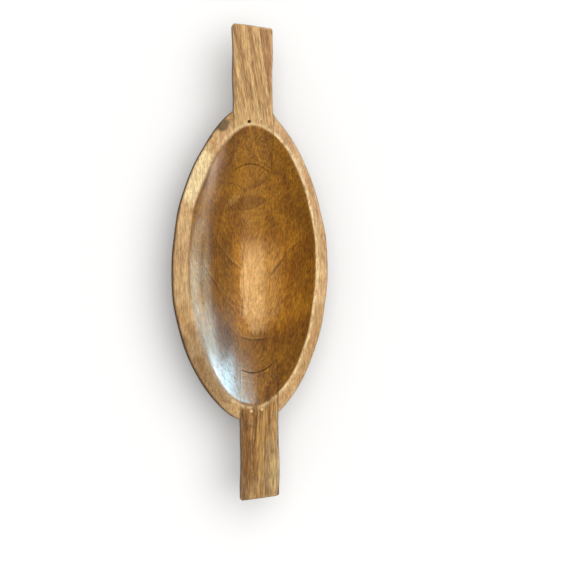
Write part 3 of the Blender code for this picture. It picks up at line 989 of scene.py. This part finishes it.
def figure_patches(shade, place, wood, brown, pale):
    """The figure at the back of the hollow: a dark lens, a dark streak and a cloud, and a pale streak."""
    dark = shade.most(
        shade.spot(place, *LENS, 0.06, LENS_TURN, 0.80),
        shade.spot(place, (0.0065, 0.0695), (0.0135, 0.0032), 0.12, 28.0),
        shade.times(shade.spot(place, (0.030, 0.0515), (0.013, 0.009), 0.2), 0.6),
    )
    streak = shade.spot(place, (-0.012, 0.057), (0.0120, 0.0036), 0.15, 45.0)
    share = shade.fit(brushed(shade, place, -45, (60, 700, 700), 2.0), 0.35, 0.65, 0.10, 0.36)
    return shade.paint(wood, (dark, 0.8, brown), (streak, share, pale))


def figure_lines(shade, place):
    """Thin dark lines: a curl at the back, the near side of the dark lens, and two on the right wall."""
    x, y = (shade.part(place, axis) for axis in "XY")
    curl = shade.times(
        shade.near(shade.minus(shade.oval(place, (-0.0205, 0.0630), (0.0175, 0.0075)), 1.0), 0.0, 0.06),
        shade.fit(shade.plus(x, y), 0.040, 0.050),
        shade.fit(y, 0.0600, 0.0635),
    )
    lens = shade.times(
        shade.near(shade.minus(shade.oval(place, *LENS, LENS_TURN), 0.92), 0.0, 0.10),
        shade.fall(shade.minus(y, shade.times(x, 0.21)), 0.052, 0.0555),
        0.7,
    )
    right = any_spot(shade, place, 0.05, (
        ((0.0273, 0.0028), (0.0158, 0.0008), 54.0),
        ((0.0388, 0.0172), (0.0108, 0.0007), 45.0),
    ))
    return shade.most(curl, lens, shade.times(right, 0.85))


def floor_wear(shade, place, streak):
    """How pale the floor is from wear and painted light: left border sharp, right soft, front end bowed."""
    x, y = (shade.part(place, axis) for axis in "XY")
    ragged = shade.swing(streak, 0.012)
    from_left = shade.plus(x, shade.times(ragged, 1.1))
    from_left = shade.minus(from_left, shade.fit(y, -0.054, -0.038, 0.0065, 0.0))
    from_right = shade.plus(x, ragged)
    shoulder = shade.times(shade.fall(from_right, 0.0115, 0.0180), 0.66)
    shoulder = shade.plus(shoulder, shade.fit(from_right, 0.020, 0.034, 0.34, 0.0))
    bow = shade.math("POWER", shade.math("ABSOLUTE", shade.minus(x, 0.0065)), 2.0)
    from_front = shade.plus(shade.minus(y, shade.times(bow, 40.0)), ragged)
    return shade.times(
        shade.fit(from_left, -0.0076, -0.0004),
        shoulder,
        shade.fit(shade.plus(y, ragged), 0.003, 0.032, 1.0, 0.10),
        shade.fit(y, -0.047, -0.038, 0.64, 1.0),
        shade.fit(from_front, -0.062, -0.052),
        shade.fit(streak, 0.30, 0.70, 0.60, 1.16),
    )


def oil_lightness(shade, place, worn):
    """Painted shade at the hollow's ends, on its left wall and by its right rim, with fine grain over all."""
    x, y = (shade.part(place, axis) for axis in "XY")
    # Painted shade on the left wall, changing along the bowl.
    left = shade.plus(shade.fit(y, 0.010, 0.046, 0.52, 0.84), shade.fit(y, -0.056, -0.036, 0.06, 0.0))
    left = shade.minus(left, shade.fit(y, 0.059, 0.071, 0.0, 0.18))
    grain = shade.fit(brushed(shade, place, 12, (240, 820, 820), 3.0), 0.30, 0.70, 0.58, 1.42)
    grain = shade.times(shade.minus(grain, 1.0), shade.fit(worn, 0.0, 0.6, 1.0, 0.6))
    return shade.times(
        shade.fit(y, -0.064, -0.044, 0.62, 1.0),
        shade.fit(y, 0.018, 0.046, 1.0, 0.75),
        shade.fit(x, -0.018, -0.004, left, 1.0),
        shade.fit(x, 0.030, 0.046, 1.06, 0.86),
        shade.plus(grain, 1.0),
    )


def oiled_hollow():
    """The hollow's oiled wood: clouded brown and gold, fine grain, a pale floor and a curled figure.

    The pale floor is partly worn and partly a painted pool of light. Painted shade darkens both ends, the
    left wall and the right wall by the rim. Thin growth lines cross it in a few places, and Line is 1 on the
    darkest. Gloss is how much oil each fibre holds.
    """
    shade, given, put = make_group(
        "oiled_hollow",
        {VECTOR: ("Vector",), COLOUR: ("Gold", "Brown", "Floor", "Umber")},
        {COLOUR: ("Color",), FLOAT: ("Line", "Gloss")},
    )
    place, brown, pale = given["Vector"], given["Brown"], given["Floor"]
    seen = any_spot(shade, place, 0.05, (
        ((-0.017, 0.011), (0.022, 0.009), -37.0),
        ((-0.025, -0.014), (0.046, 0.010), -47.0),
        ((0.0045, -0.060), (0.016, 0.007), 0.0),
    ))
    layers = layers_of(shade, place, (-0.14, -0.543, 1.0), 0.020, 0.195, 0.10, seen)
    streak = shade.noise(place, (620, 42, 620), 3.0, 0.65, (4, 4, 4))
    band = shade.noise(place, (190, 26, 190), 2.0, 0.5, (1, 6, 2))
    tone = shade.plus(
        shade.noise(place, (44, 26, 44), 2.0, 0.5, (2, 0, 5)),
        shade.swing(brushed(shade, place, 36, (60, 420, 200), 4.0), 0.48),
        shade.swing(streak, 0.40),
        shade.swing(band, 0.50),
        shade.times(layers["Tone"], 0.06),
    )
    wood = shade.mix(shade.fit(tone, 0.27, 0.79), brown, given["Gold"])
    wood = figure_patches(shade, place, wood, brown, pale)
    # The pale floor is partly wear and partly a painted pool of light; painted shade then darkens ends and
    # walls.
    worn = floor_wear(shade, place, streak)
    wood = shade.mix(worn, wood, pale)
    wood = shade.tint(oil_lightness(shade, place, worn), wood)
    line = shade.most(layers["Line"], figure_lines(shade, place))
    wood = shade.paint(wood, (layers["Light"], 0.18, pale), (line, 0.75, given["Umber"]))
    gloss = brushed(shade, place, 26, (130, 900, 900), 3.0)
    shade.feed(put["Color"], wood)
    shade.feed(put["Line"], line)
    shade.feed(put["Gloss"], shade.fit(gloss, 0.32, 0.66, 0.50, 1.0))
    return shade.tree


def use_group(shade, maker, inputs):
    """One shared group, built the first time that it is asked for, with its inputs fed."""
    tree = bpy.data.node_groups.get(maker.__name__) or maker()
    return shade.add("ShaderNodeGroup", inputs, node_tree=tree).outputs


def layers_of(shade, place, slope, spacing, start, bend, seen=1.0):
    """Growth layers with their own slope, spacing, start and bend."""
    return use_group(shade, growth_layers, {
        "Vector": place, "Slope": slope, "Spacing": spacing, "Start": start, "Bend": bend, "Seen": seen,
    })


def fibre_of(shade, place, lengthening):
    """Fibre a millimetre wide, drawn out by its own lengthening."""
    return use_group(shade, wood_fibre, {"Vector": place, "Width": 0.0010, "Lengthening": lengthening})


def wear_of(shade, place, mark):
    """The mask of the wear along a marked edge."""
    return use_group(shade, worn_edge, {"Vector": place, "Mark": mark})["Mask"]


def grime_of(shade, place, shape, board, side):
    """The grime mask of one handle's joint."""
    return use_group(shade, joint_grime, {
        "Vector": place, "Middle": board.x, "Half": board.width / 2, "Side": float(side),
        "Root X": board.root_x, "Root Y": board.root_y, "Bow": board.root_bow,
        "To": shape.root_end(board.width, side) + 0.001,
    })["Mask"]


def hollow_of(shade, place, woods):
    """The oiled hollow with its own colours."""
    return use_group(shade, oiled_hollow, {
        "Vector": place, "Gold": woods.hollow_gold, "Brown": woods.hollow_brown,
        "Floor": woods.floor_tan, "Umber": woods.line_umber,
    })


def touch_up(shade, place, wood, ragged, touches):
    """Lays ragged ovals over a wood, each with a middle, radii, a turn, a strength and a colour."""
    for centre, radii, turn, strength, tone in touches:
        wood = shade.paint(wood, (shade.spot(place, centre, radii, ragged, turn), strength, tone))
    return wood


def new_wood(name, specular, coat_roughness):
    """A material with a Principled shader, its shading tree, its shader and its Object coordinates."""
    material = bpy.data.materials.new(name)
    material.use_nodes = True
    shade = Shade(material.node_tree)
    shader = material.node_tree.nodes["Principled BSDF"]
    shader.inputs["Specular IOR Level"].default_value = specular
    shader.inputs["Coat Roughness"].default_value = coat_roughness
    shader.inputs["Coat IOR"].default_value = 1.65
    return material, shade, shader, shade.add("ShaderNodeTexCoord").outputs["Object"]


def finish_wood(shade, shader, wood, fibre, roughness, oil, line, relief):
    """Feeds a wood to its shader. Fine fibres stand up in its relief, and pores and layer lines sink in."""
    raised = shade.plus(shade.times(fibre["Fine"], 0.5), shade.times(fibre["Streak"], 0.5))
    sunk = shade.plus(shade.times(fibre["Pore"], 0.6), shade.times(line, 0.5))
    bump = {"Height": shade.minus(raised, sunk), "Strength": 0.5, "Distance": relief}
    shade.feed(shader.inputs["Base Color"], wood)
    shade.feed(shader.inputs["Roughness"], shade.fit(fibre["Fine"], 0.2, 0.8, *roughness))
    shade.feed(shader.inputs["Coat Weight"], oil)
    shade.feed(shader.inputs["Normal"], shade.add("ShaderNodeBump", bump).outputs[0])


def bowl_wood(settings, shape):
    """The body's wood: a tan mottled rim, a dark outside with growth layers, and the oiled hollow."""
    woods = settings.woods
    material, shade, shader, place = new_wood("bowl_wood", 0.12, 0.20)
    hollow = shade.mark("hollow")
    fibre = fibre_of(shade, place, 14.0)
    inside = hollow_of(shade, place, woods)
    patch = shade.noise(place, (85, 48, 85), 4.0, 0.68)
    blush = shade.noise(place, (120, 70, 120), 3.0, 0.6, (7, 3, 1))
    rim = shade.mix(shade.fit(patch, 0.32, 0.66), woods.rim_tan, woods.rim_pale)
    rim = shade.mix(shade.fit(blush, 0.46, 0.70, 0.0, 0.65), rim, woods.rim_blush)
    rim = touch_up(shade, place, rim, 0.3, (
        ((-0.047, 0.080), (0.020, 0.040), 0.0, 0.9, woods.rim_worn),
        ((0.052, -0.070), (0.030, 0.044), 0.0, 0.5, woods.rim_tan),
        ((-0.040, -0.092), (0.040, 0.062), 0.0, 0.52, woods.rim_stain),
        ((-0.059, -0.006), (0.011, 0.048), 0.0, 0.13, woods.rim_stain),
        ((-0.0226, 0.1172), (0.0088, 0.0052), 42.0, 0.95, woods.rim_stain),
    ))
    layers = layers_of(shade, place, (0.12, 0.05, 1.0), 0.0085, 0.35, 0.9)
    # The dark outside is partly painted shade on the hull and the rim's outer edge.
    hull = shade.tint(shade.fit(layers["Tone"], 0.0, 1.0, 1.22, 0.86), woods.outside)
    hull = shade.paint(hull, (layers["Line"], 0.45, woods.grime))
    rim = shade.mix(shade.mark("outside"), rim, hull)

    to_right = shade.fit(shade.part(place, "X"), -0.045, 0.02, 0.05, 0.95)
    wear = wear_of(shade, place, shade.times(shade.mark("crest"), to_right))
    wood = shade.mix(wear, rim, woods.rim_worn)
    wood = shade.tint(shade.fit(fibre["Streak"], 0.25, 0.75, 0.70, 1.24), wood)
    wood = shade.tint(shade.fit(fibre["Fine"], 0.28, 0.72, 0.78, 1.18), wood)
    wood = shade.mix(hollow, wood, inside["Color"])
    joints = (grime_of(shade, place, shape, board, side) for side, board in boards_of(settings).items())
    by_board = shade.fit(shade.part(place, "Z"), HANDLE_UNDERSIDE - 0.004, HANDLE_UNDERSIDE - 0.002)
    grime = shade.times(shade.most(*joints), by_board)
    wood = shade.paint(wood, (fibre["Pore"], 0.30, woods.line_umber), (grime, 0.85, woods.grime))
    oil = shade.times(shade.mark("oiled"), inside["Gloss"], shade.minus(1.0, grime))
    line = shade.times(inside["Line"], hollow)
    finish_wood(shade, shader, wood, fibre, (0.40, 0.58), oil, line, 0.00018)
    return material


def board_wood(name, settings, shape, side, colours, turn, touches):
    """A handle's wood: strong straight streaks, turned a little, and the oiled tone in the hollow."""
    woods = settings.woods
    board = boards_of(settings)[side]
    pale, tan, red = colours
    material, shade, shader, place = new_wood(name, 0.2, 0.20)
    x = shade.part(place, "X")
    turned = shade.placed(place, (1, 1, 1), turn=(0, 0, turn))
    fibre = fibre_of(shade, turned, 34.0)
    layers = layers_of(shade, turned, (0.8, 0.02, 0.5), 0.008, 0.2, 1.0)
    tone = shade.plus(shade.times(fibre["Streak"], 0.85), shade.times(layers["Tone"], 0.16))
    wood = shade.mix(shade.fit(tone, 0.33, 0.68), tan, pale)
    heart = shade.fit(shade.noise(turned, (160, 24, 160), 3.0, 0.6), 0.35, 0.65)
    heart_side = shade.times(shade.minus(x, board.x), float(side))
    wood = shade.paint(wood, (heart, shade.fit(heart_side, 0.002, 0.013, 0.15, 0.85), red))
    wood = touch_up(shade, place, wood, 0.5, touches)
    wood = shade.tint(shade.fit(fibre["Fine"], 0.28, 0.72, 0.56, 1.36), wood)
    wood = shade.paint(
        wood, (fibre["Fleck"], 0.55, pale), (layers["Line"], 0.35, woods.line_umber),
        (fibre["Pore"], 0.50, woods.line_umber),
    )
    inside = hollow_of(shade, place, woods)
    oiled = shade.tint(shade.fit(tone, 0.30, 0.75, 0.74, 1.28), inside["Color"])
    wood = shade.mix(shade.mark("hollow"), wood, oiled)
    # The flanks take the dark outside wood, which is partly painted shade on them.
    sides = shade.tint(shade.fit(tone, 0.33, 0.68, 0.55, 1.75), woods.outside)
    sides = shade.tint(shade.fit(fibre["Fine"], 0.28, 0.72, 0.60, 1.40), sides)
    sides = shade.paint(sides, (layers["Line"], 0.6, woods.grime))
    # Edges grow paler to the right: partly wear, partly a painted highlight on the side the light falls on.
    to_right = shade.fit(x, board.x - 0.012, board.x + 0.012, 0.08, 0.40)
    grime = grime_of(shade, place, shape, board, side)
    wood = shade.paint(
        wood, (shade.mark("outside"), 0.9, sides),
        (wear_of(shade, place, shade.mark("crest")), 0.5, woods.rim_worn),
        (wear_of(shade, turned, shade.mark("edge")), to_right, woods.rim_worn),
        (grime, 0.9, woods.grime),
    )
    oil = shade.times(shade.mark("oiled"), inside["Gloss"], shade.minus(1.0, grime))
    finish_wood(shade, shader, wood, fibre, (0.45, 0.65), oil, layers["Line"], 0.00024)
    return material


def peg_wood(woods):
    """The pegs' wood: pale end grain dotted with fine pores, with painted shade on a sunk peg's top."""
    material, shade, shader, place = new_wood("peg_wood", 0.25, 0.3)
    dots = shade.noise(place, (5200, 5200, 900), 2.0, 0.6)
    wood = shade.mix(shade.fit(dots, 0.30, 0.62), woods.rim_tan, woods.peg)
    # A sunk peg's top takes the grime colour as painted shade in its hole.
    sunk = shade.fit(shade.part(place, "Z"), RIM_TOP - 0.0016, RIM_TOP - 0.0006, 0.9, 0.0)
    wood = shade.mix(sunk, wood, woods.grime)
    bump = {"Height": dots, "Strength": 0.4, "Distance": 0.0001}
    shade.feed(shader.inputs["Base Color"], wood)
    shade.feed(shader.inputs["Roughness"], shade.fit(dots, 0.3, 0.7, 0.75, 0.55))
    shade.feed(shader.inputs["Normal"], shade.add("ShaderNodeBump", bump).outputs[0])
    return material


class NUTBOWL_OT_carve_body(bpy.types.Operator):
    """Carve the body with its hollow, rim, foot and the housings for its handles"""

    bl_idname = "nut_bowl.carve_body"
    bl_label = "Carve Body"

    def execute(self, context):
        settings = context.scene.nut_bowl
        shape = BowlShape(settings.body)
        boards = boards_of(settings)
        rows = sweep_throats(shape, body_rows(shape), boards)
        body = make_piece("carved_body", rows, bowl_wood(settings, shape))
        housings = [housing(shape, board, side) for side, board in boards.items()]
        bottom = HANDLE_UNDERSIDE - settings.pegs.bite - settings.pegs.play
        cut(body, housings + peg_holes(settings, shape, boards, bottom))
        finish_piece(body, shape, "bowl_body")
        return {"FINISHED"}


class NUTBOWL_OT_shape_handles(bpy.types.Operator):
    """Shape both board handles, trimmed to the hollow at their roots and bored for their pegs"""

    bl_idname = "nut_bowl.shape_handles"
    bl_label = "Shape Handles"

    def execute(self, context):
        settings = context.scene.nut_bowl
        woods = settings.woods
        shape = BowlShape(settings.body)
        back_touches = (
            ((0.0024, 0.122), (0.024, 0.022), 0.0, 0.45, woods.back_pale),
        )
        front_touches = (
            ((-0.0050, -0.160), (0.012, 0.060), 0.0, 0.62, woods.front_tan),
            ((0.0200, -0.165), (0.013, 0.046), 0.0, 0.36, woods.front_grey),
            ((0.0090, -0.192), (0.026, 0.018), 0.0, 0.22, woods.front_grey),
            ((0.0197, -0.173), (0.0050, 0.020), 0.0, 0.45, woods.front_worn),
            # A painted sheen along the right edge.
            ((0.0250, -0.150), (0.0045, 0.060), 0.0, 0.6, woods.front_grey),
        )
        for node, side, turn, colours, touches in (
            ("back_handle", 1, -8.5, (woods.back_pale, woods.back_tan, woods.back_red), back_touches),
            ("front_handle", -1, 0.5, (woods.front_pale, woods.front_tan, woods.front_red), front_touches),
        ):
            board = boards_of(settings)[side]
            slot = node + "_wood"
            material = board_wood(slot, settings, shape, side, colours, math.radians(turn), touches)
            handle = make_piece("carved_" + node, board_rows(shape, board, side), material)
            cut(handle, peg_holes(settings, shape, (side,), HANDLE_UNDERSIDE - HOLE_OVERSHOOT))
            finish_piece(handle, shape, node, lambda points: board_marks(shape, board, side, points))
        return {"FINISHED"}


class NUTBOWL_OT_drive_pegs(bpy.types.Operator):
    """Drive the pegs through the handles' roots into the body"""

    bl_idname = "nut_bowl.drive_pegs"
    bl_label = "Drive Pegs"

    def execute(self, context):
        settings = context.scene.nut_bowl
        shape = BowlShape(settings.body)
        material = peg_wood(settings.woods)
        bottom = HANDLE_UNDERSIDE - settings.pegs.bite
        for peg in PEGS:
            x, y = peg.place(shape, boards_of(settings)[peg.side])
            rows = peg_rows(x, y, bottom, RIM_TOP - peg.sunk, settings.pegs.diameter / 2)
            piece = make_piece("driven_" + peg.node, rows, material)
            finish_piece(piece, shape, peg.node)
        return {"FINISHED"}


# The windows that the oiled wood mirrors: share of their strength, azimuth, elevation, spread and colour.
WINDOWS = (
    (0.98, 44, 26, 18, (0.51, 0.82, 1.0)),
    (0.56, 38, 20, 14, (0.54, 0.88, 1.0)),
    (0.76, 32, 14, 12, (0.57, 0.80, 1.0)),
    (0.44, 25, 10, 12, (0.64, 0.92, 1.0)),
    (0.16, 16, 9, 12, (0.88, 1.0, 0.89)),
    (0.17, 8, 8, 12, (0.94, 1.0, 0.80)),
    (0.15, 0, 8, 12, (1.0, 0.93, 0.68)),
    (0.07, -12, 9, 12, (1.0, 0.90, 0.68)),
    (0.28, -22, 10, 14, (1.0, 0.80, 0.64)),
    (0.22, -32, 14, 16, (1.0, 0.66, 0.52)),
    (0.74, 60, 32, 20, (0.55, 0.88, 1.0)),
    (0.44, 80, 36, 22, (0.48, 0.80, 1.0)),
)


def add_light(name, strength, azimuth, elevation, spread, tint):
    """A soft even light from one part of the sky, as wide as its spread, with angles in degrees."""
    light = bpy.data.lights.new(name, "SUN")
    light.energy = strength
    light.angle = math.radians(spread)
    light.color = tint
    lamp = bpy.data.objects.new(name, light)
    turn, lift = math.radians(azimuth), math.radians(elevation)
    source = Vector((math.cos(turn) * math.cos(lift), math.sin(turn) * math.cos(lift), math.sin(lift)))
    lamp.location = source
    lamp.rotation_euler = source.to_track_quat("Z", "Y").to_euler()
    bpy.context.scene.collection.objects.link(lamp)
    return lamp


def hang_lamps(stage):
    """An even dome and soft daylight that light the wood, and windows that show only in its sheen."""
    dome = add_light("dome", stage.dome, 0, 90, 160, (1.0, 1.0, 1.0))
    daylight = add_light("daylight", stage.daylight, 46, 73, 76, (1.0, 0.98, 0.95))
    for lamp in (dome, daylight):
        lamp.visible_glossy = False
    for share, azimuth, elevation, spread, tint in WINDOWS:
        window = add_light("window", share * stage.windows, azimuth, elevation, spread, tint)
        window.visible_diffuse = False


def lay_floor(scene, stage):
    """A plain level square that the bowl stands on."""
    mesh = bpy.data.meshes.new("floor")
    corners = [(FLOOR_REACH * x, FLOOR_REACH * y, 0) for x, y in ((-1, -1), (1, -1), (1, 1), (-1, 1))]
    mesh.from_pydata(corners, [], [(0, 1, 2, 3)])
    floor = bpy.data.objects.new("floor", mesh)
    scene.collection.objects.link(floor)
    material = bpy.data.materials.new("floor")
    material.use_nodes = True
    shader = material.node_tree.nodes["Principled BSDF"]
    Shade(material.node_tree).feed(shader.inputs["Base Color"], stage.floor)
    shader.inputs["Roughness"].default_value = 0.9
    shader.inputs["Specular IOR Level"].default_value = 0.0
    mesh.materials.append(material)


def hang_backdrop(scene, stage):
    """A plain white backdrop all round, with its own strength overhead and low down."""
    world = bpy.data.worlds.new("studio")
    scene.world = world
    world.use_nodes = True
    shade = Shade(world.node_tree)
    height = shade.part(shade.add("ShaderNodeTexCoord").outputs["Generated"], "Z")
    backdrop = world.node_tree.nodes["Background"]
    backdrop.inputs["Color"].default_value = (1.0, 1.0, 1.0, 1.0)
    shade.feed(backdrop.inputs["Strength"], shade.fit(height, 0.05, 0.75, stage.horizon, stage.sky))


def look(eye, target):
    """The turn of a camera that looks from one point to another, with +Y up in its picture."""
    forward = (target - eye).normalized()
    right = forward.cross(Vector((0, 1, 0))).normalized()
    up = right.cross(forward)
    return Matrix((right, up, -forward)).transposed().to_euler()


def stand_camera(scene, stage):
    """A camera whose picture takes in the view's width at its target."""
    camera = bpy.data.cameras.new("camera")
    eye, target = Vector(stage.eye), Vector(stage.target)
    camera.angle = 2 * math.atan(stage.view_width / 2 / (target - eye).length)
    viewer = bpy.data.objects.new("camera", camera)
    viewer.location = eye
    viewer.rotation_euler = look(eye, target)
    scene.collection.objects.link(viewer)
    scene.camera = viewer


class NUTBOWL_OT_set_stage(bpy.types.Operator):
    """Lay the floor, hang the lamps and stand the camera"""

    bl_idname = "nut_bowl.set_stage"
    bl_label = "Set Stage"

    def execute(self, context):
        scene = context.scene
        stage = scene.nut_bowl.stage
        scene.view_settings.view_transform = "Standard"
        lay_floor(scene, stage)
        hang_backdrop(scene, stage)
        hang_lamps(stage)
        stand_camera(scene, stage)
        return {"FINISHED"}


class NutBowlSettings(bpy.types.PropertyGroup):
    """All that can be set on the bowl and its stage."""

    body: bpy.props.PointerProperty(type=BodySettings, name="Body", description="The carved body")
    back_handle: bpy.props.PointerProperty(
        type=BackHandleSettings, name="Back handle", description="The handle at the back"
    )
    front_handle: bpy.props.PointerProperty(
        type=FrontHandleSettings, name="Front handle", description="The handle at the front"
    )
    pegs: bpy.props.PointerProperty(type=PegSettings, name="Pegs", description="The pegs in the handles")
    woods: bpy.props.PointerProperty(type=WoodSettings, name="Woods", description="The woods' colours")
    stage: bpy.props.PointerProperty(type=StageSettings, name="Stage", description="Floor, lamps and camera")


class NUTBOWL_PT_sidebar(bpy.types.Panel):
    """The bowl's pieces and stage, each with its operator"""

    bl_idname = "NUTBOWL_PT_sidebar"
    bl_label = "Nut Bowl"
    bl_space_type = "VIEW_3D"
    bl_region_type = "UI"
    bl_category = "Nut Bowl"

    def draw(self, context):
        settings = context.scene.nut_bowl
        for operator, groups in (
            (NUTBOWL_OT_carve_body, ("body",)),
            (NUTBOWL_OT_shape_handles, ("back_handle", "front_handle")),
            (NUTBOWL_OT_drive_pegs, ("pegs", "woods")),
            (NUTBOWL_OT_set_stage, ("stage",)),
        ):
            box = self.layout.box()
            box.operator(operator.bl_idname)
            for group in groups:
                values = getattr(settings, group)
                for name in values.bl_rna.properties.keys():
                    if name not in ("rna_type", "name"):
                        box.prop(values, name)


CLASSES = (
    BodySettings, BackHandleSettings, FrontHandleSettings, PegSettings, WoodSettings, StageSettings,
    NutBowlSettings, NUTBOWL_OT_carve_body, NUTBOWL_OT_shape_handles, NUTBOWL_OT_drive_pegs,
    NUTBOWL_OT_set_stage, NUTBOWL_PT_sidebar,
)


def register():
    for each in CLASSES:
        bpy.utils.register_class(each)
    bpy.types.Scene.nut_bowl = bpy.props.PointerProperty(
        type=NutBowlSettings, name="Nut bowl", description="Settings of the nut bowl"
    )


def unregister():
    del bpy.types.Scene.nut_bowl
    for each in reversed(CLASSES):
        bpy.utils.unregister_class(each)


def main():
    register()
    bpy.ops.nut_bowl.carve_body()
    bpy.ops.nut_bowl.shape_handles()
    bpy.ops.nut_bowl.drive_pegs()
    bpy.ops.nut_bowl.set_stage()


if __name__ == "__main__":
    main()
